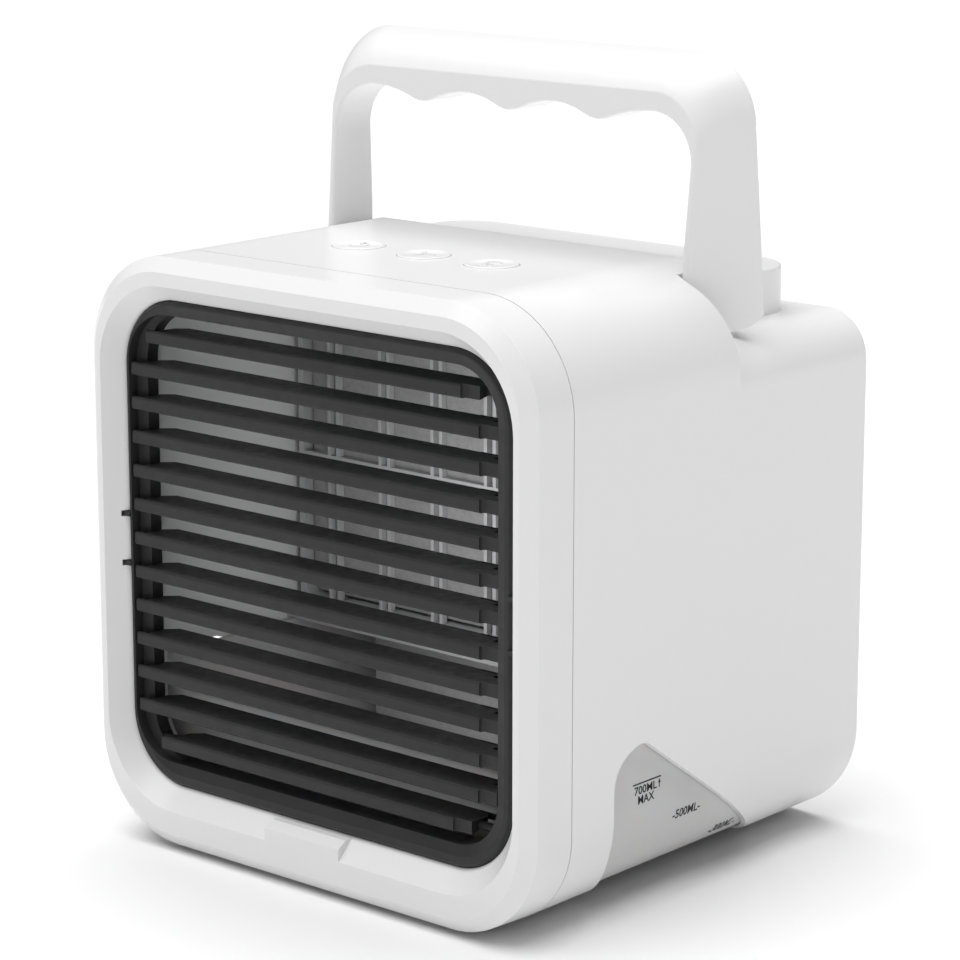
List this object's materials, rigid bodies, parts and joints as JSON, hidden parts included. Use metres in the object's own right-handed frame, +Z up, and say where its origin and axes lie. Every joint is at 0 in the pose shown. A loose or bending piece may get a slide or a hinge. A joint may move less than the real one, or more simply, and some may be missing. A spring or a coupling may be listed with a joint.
{
  "type": "personal evaporative air cooler",
  "caption": "Small cube-shaped evaporative air cooler with tilting louvres, folding carrying handle, top buttons and a clear water tank that slides out to the rear.",
  "frame": {"origin": "centre of the footprint on the surface that the rubber feet stand on", "axes": "+Z up, -Y out of the louvred front face, +X to the right seen from the front"},
  "size_m": [0.165, 0.15, 0.2289],
  "materials": {
    "casing_white": "smooth injection-moulded shell with a soft gloss",
    "louvre_grey": "fine satin dark grey moulding",
    "inner_grey": "plain satin moulding inside the air path",
    "tank_smoke": "translucent smoky grey moulding with printed level marks",
    "wick_felt": "absorbent grey felt",
    "fan_black": "satin black moulding",
    "motor_steel": "plated steel can",
    "screw_steel": "zinc-plated steel",
    "board_green": "solder-masked circuit board",
    "foot_rubber": "soft moulded rubber"
  },
  "bodies": {
    "casing": {"front_bezel": "casing_white", "louvre_frame": "louvre_grey", "main_housing": "casing_white", "rear_panel": "casing_white", "case_screws": "screw_steel", "power_socket": "fan_black", "divider_floor": "inner_grey", "filter_cassette": "inner_grey", "wick_pad": "wick_felt", "transfer_pad": "wick_felt", "fan_shroud": "inner_grey", "motor_bracket": "inner_grey", "fan_motor": "motor_steel", "control_board": "board_green", "button_switches": "fan_black", "handle_pins": "screw_steel", "rubber_feet": "foot_rubber"},
    "louvre_01": {"louvre_01": "louvre_grey"},
    "louvre_02": {"louvre_02": "louvre_grey"},
    "louvre_03": {"louvre_03": "louvre_grey"},
    "louvre_04": {"louvre_04": "louvre_grey"},
    "louvre_05": {"louvre_05": "louvre_grey"},
    "louvre_06": {"louvre_06": "louvre_grey"},
    "louvre_07": {"louvre_07": "louvre_grey"},
    "louvre_08": {"louvre_08": "louvre_grey"},
    "louvre_09": {"louvre_09": "louvre_grey"},
    "louvre_10": {"louvre_10": "louvre_grey"},
    "louvre_11": {"louvre_11": "louvre_grey"},
    "louvre_12": {"louvre_12": "louvre_grey"},
    "louvre_13": {"louvre_13": "louvre_grey"},
    "louvre_link": {"louvre_link": "louvre_grey"},
    "fan": {"fan_impeller": "fan_black", "fan_shaft": "screw_steel"},
    "tank": {"water_tank": "tank_smoke", "tank_wick": "wick_felt"},
    "handle": {"handle": "casing_white"},
    "power_button": {"power_button": "casing_white"},
    "speed_button": {"speed_button": "casing_white"},
    "light_button": {"light_button": "casing_white"}
  },
  "joints": [
    {"name": "louvre_01_tilt", "type": "hinge", "parent": "casing", "child": "louvre_01", "pos_m": [0, -0.0646, 0.1485], "axis": [1, 0, 0], "range_deg": [-30, 30]},
    {"name": "louvre_02_tilt", "type": "hinge", "parent": "casing", "child": "louvre_02", "pos_m": [0, -0.0646, 0.13862], "axis": [1, 0, 0], "range_deg": [-30, 30]},
    {"name": "louvre_03_tilt", "type": "hinge", "parent": "casing", "child": "louvre_03", "pos_m": [0, -0.0646, 0.12875], "axis": [1, 0, 0], "range_deg": [-30, 30]},
    {"name": "louvre_04_tilt", "type": "hinge", "parent": "casing", "child": "louvre_04", "pos_m": [0, -0.0646, 0.11887], "axis": [1, 0, 0], "range_deg": [-30, 30]},
    {"name": "louvre_05_tilt", "type": "hinge", "parent": "casing", "child": "louvre_05", "pos_m": [0, -0.0646, 0.109], "axis": [1, 0, 0], "range_deg": [-30, 30]},
    {"name": "louvre_06_tilt", "type": "hinge", "parent": "casing", "child": "louvre_06", "pos_m": [0, -0.0646, 0.09913], "axis": [1, 0, 0], "range_deg": [-30, 30]},
    {"name": "louvre_07_tilt", "type": "hinge", "parent": "casing", "child": "louvre_07", "pos_m": [0, -0.0646, 0.08925], "axis": [1, 0, 0], "range_deg": [-30, 30]},
    {"name": "louvre_08_tilt", "type": "hinge", "parent": "casing", "child": "louvre_08", "pos_m": [0, -0.0646, 0.07938], "axis": [1, 0, 0], "range_deg": [-30, 30]},
    {"name": "louvre_09_tilt", "type": "hinge", "parent": "casing", "child": "louvre_09", "pos_m": [0, -0.0646, 0.0695], "axis": [1, 0, 0], "range_deg": [-30, 30]},
    {"name": "louvre_10_tilt", "type": "hinge", "parent": "casing", "child": "louvre_10", "pos_m": [0, -0.0646, 0.05962], "axis": [1, 0, 0], "range_deg": [-30, 30]},
    {"name": "louvre_11_tilt", "type": "hinge", "parent": "casing", "child": "louvre_11", "pos_m": [0, -0.0646, 0.04975], "axis": [1, 0, 0], "range_deg": [-30, 30]},
    {"name": "louvre_12_tilt", "type": "hinge", "parent": "casing", "child": "louvre_12", "pos_m": [0, -0.0646, 0.03988], "axis": [1, 0, 0], "range_deg": [-30, 30]},
    {"name": "louvre_13_tilt", "type": "hinge", "parent": "casing", "child": "louvre_13", "pos_m": [0, -0.0646, 0.03], "axis": [1, 0, 0], "range_deg": [-30, 30]},
    {"name": "link_swing", "type": "hinge", "parent": "louvre_01", "child": "louvre_link", "pos_m": [0.0612, -0.059, 0.1492], "axis": [1, 0, 0], "range_deg": [-30, 30]},
    {"name": "fan_spin", "type": "hinge", "parent": "casing", "child": "fan", "pos_m": [0, 0.035, 0.0995], "axis": [0, 1, 0], "continuous": true},
    {"name": "tank_slide", "type": "slide", "parent": "casing", "child": "tank", "axis": [0, 1, 0], "range_m": [0, 0.1]},
    {"name": "handle_fold", "type": "hinge", "parent": "casing", "child": "handle", "pos_m": [0, 0.01975, 0.1615], "axis": [-1, 0, 0], "range_deg": [0, 90]},
    {"name": "power_button_press", "type": "slide", "parent": "casing", "child": "power_button", "axis": [0, 0, -1], "range_m": [0, 0.0006], "stiffness_N_per_m": 1200, "springref_m": -0.0003},
    {"name": "speed_button_press", "type": "slide", "parent": "casing", "child": "speed_button", "axis": [0, 0, -1], "range_m": [0, 0.0006], "stiffness_N_per_m": 1200, "springref_m": -0.0003},
    {"name": "light_button_press", "type": "slide", "parent": "casing", "child": "light_button", "axis": [0, 0, -1], "range_m": [0, 0.0006], "stiffness_N_per_m": 1200, "springref_m": -0.0003}
  ],
  "couplings": [
    {"joint": "louvre_02_tilt", "follows": "louvre_01_tilt", "ratio": 1},
    {"joint": "louvre_03_tilt", "follows": "louvre_01_tilt", "ratio": 1},
    {"joint": "louvre_04_tilt", "follows": "louvre_01_tilt", "ratio": 1},
    {"joint": "louvre_05_tilt", "follows": "louvre_01_tilt", "ratio": 1},
    {"joint": "louvre_06_tilt", "follows": "louvre_01_tilt", "ratio": 1},
    {"joint": "louvre_07_tilt", "follows": "louvre_01_tilt", "ratio": 1},
    {"joint": "louvre_08_tilt", "follows": "louvre_01_tilt", "ratio": 1},
    {"joint": "louvre_09_tilt", "follows": "louvre_01_tilt", "ratio": 1},
    {"joint": "louvre_10_tilt", "follows": "louvre_01_tilt", "ratio": 1},
    {"joint": "louvre_11_tilt", "follows": "louvre_01_tilt", "ratio": 1},
    {"joint": "louvre_12_tilt", "follows": "louvre_01_tilt", "ratio": 1},
    {"joint": "louvre_13_tilt", "follows": "louvre_01_tilt", "ratio": 1},
    {"joint": "link_swing", "follows": "louvre_01_tilt", "ratio": -1}
  ]
}
